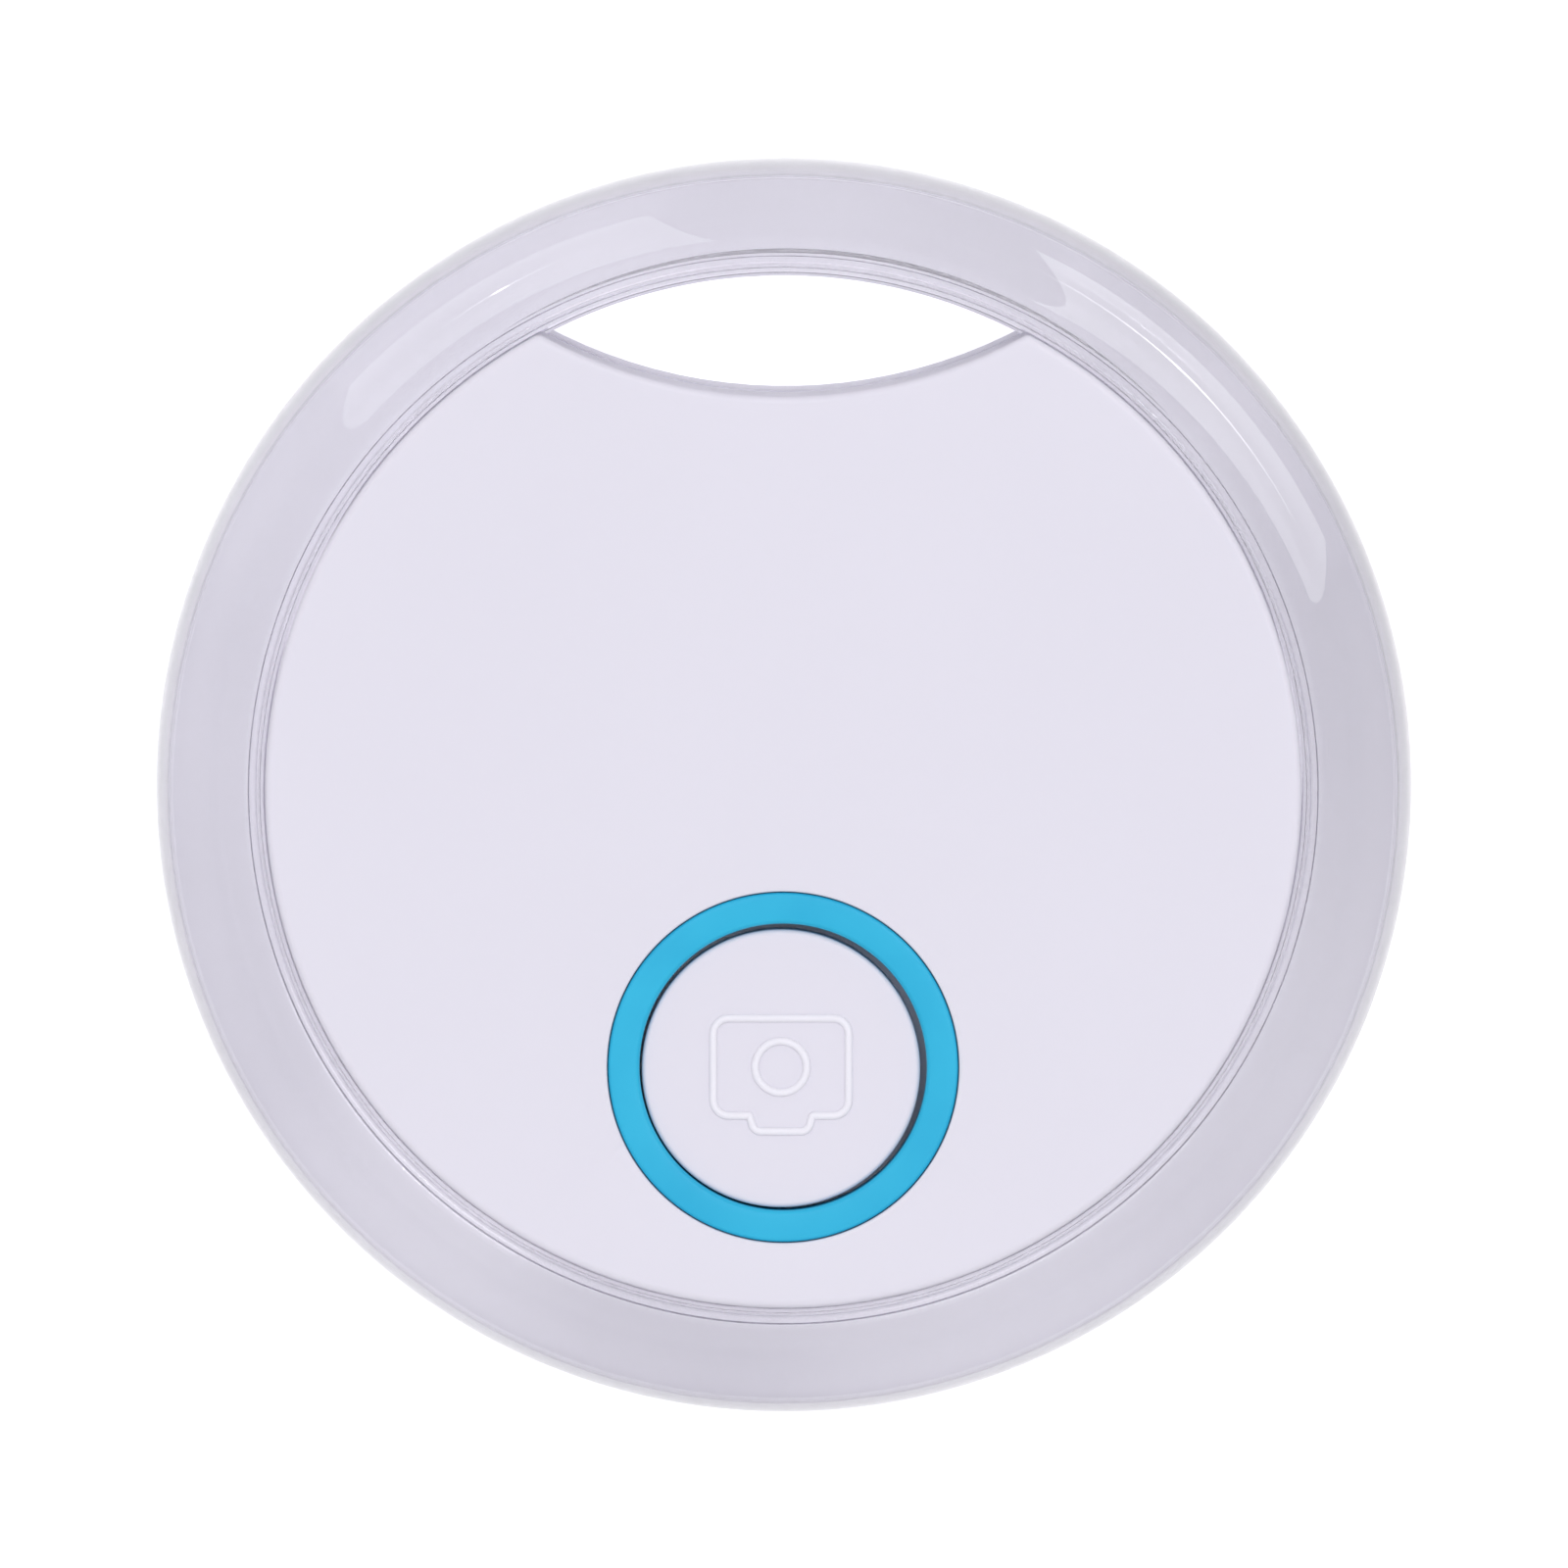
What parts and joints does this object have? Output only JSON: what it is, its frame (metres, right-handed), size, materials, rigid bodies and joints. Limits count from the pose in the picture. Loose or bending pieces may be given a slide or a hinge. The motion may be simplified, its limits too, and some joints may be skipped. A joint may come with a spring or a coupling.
{
  "type": "bluetooth tracker tag",
  "caption": "Round white bluetooth tracker tag with a clear bumper ring, lanyard eye, finger button with a blue accent ring, and a coin-slot battery door.",
  "frame": {"origin": "under the centre of the clear ring, at the level of the rear face", "axes": "+Z out of the front face, +Y towards the lanyard eye, +X to the right when facing the front"},
  "size_m": [0.04, 0.04, 0.0085],
  "materials": {
    "clear_polycarbonate": "gloss",
    "white_plastic": "satin",
    "accent_blue": "satin",
    "black_rubber": "matte",
    "cell_steel": "satin",
    "grey_polymer": "matte",
    "board_laminate": "satin",
    "screw_steel": "satin",
    "chip_black": "matte",
    "trace_copper": "satin",
    "chip_tan": "matte",
    "led_body": "gloss",
    "brass_plate": "satin",
    "buzzer_ceramic": "matte",
    "glue_pad": "matte",
    "lead_red": "satin",
    "contact_gold": "satin"
  },
  "bodies": {
    "case": {"clear_ring": "clear_polycarbonate", "front_shell": "white_plastic", "rear_shell": "white_plastic", "accent_ring": "accent_blue", "circuit_board": "board_laminate", "board_screws": "screw_steel", "radio_chip": "chip_black", "crystal_can": "cell_steel", "antenna_trace": "trace_copper", "chip_passives": "chip_tan", "status_led": "led_body", "switch_base": "grey_polymer", "switch_dome": "cell_steel", "switch_cover": "cell_steel", "buzzer_plate": "brass_plate", "buzzer_ceramic": "buzzer_ceramic", "buzzer_glue": "glue_pad", "buzzer_leads": "lead_red", "contact_positive": "contact_gold", "contact_negative": "contact_gold"},
    "button": {"button_cap": "white_plastic"},
    "plunger": {"switch_stem": "chip_black"},
    "cell": {"cell_can": "cell_steel", "cell_gasket": "grey_polymer", "cell_cap": "cell_steel"},
    "door": {"battery_door": "white_plastic", "door_seal": "black_rubber"}
  },
  "joints": [
    {"name": "button_press", "type": "slide", "parent": "case", "child": "button", "axis": [0, 0, -1], "range_m": [0, 0.00025], "stiffness_N_per_m": 4000},
    {"name": "plunger_press", "type": "slide", "parent": "case", "child": "plunger", "axis": [0, 0, -1], "range_m": [0, 0.00025], "deforming": ["switch_dome"]},
    {"name": "cell_lift", "type": "slide", "parent": "case", "child": "cell", "axis": [0, 0, -1], "range_m": [0, 0.0019]},
    {"name": "door_turn", "type": "hinge", "parent": "cell", "child": "door", "pos_m": [0, -0.0019, 0], "axis": [0, 0, -1], "range_deg": [0, 60]}
  ],
  "couplings": [
    {"joint": "plunger_press", "follows": "button_press", "ratio": 1},
    {"joint": "door_turn", "follows": "cell_lift", "rad_per_m": 551.16}
  ]
}
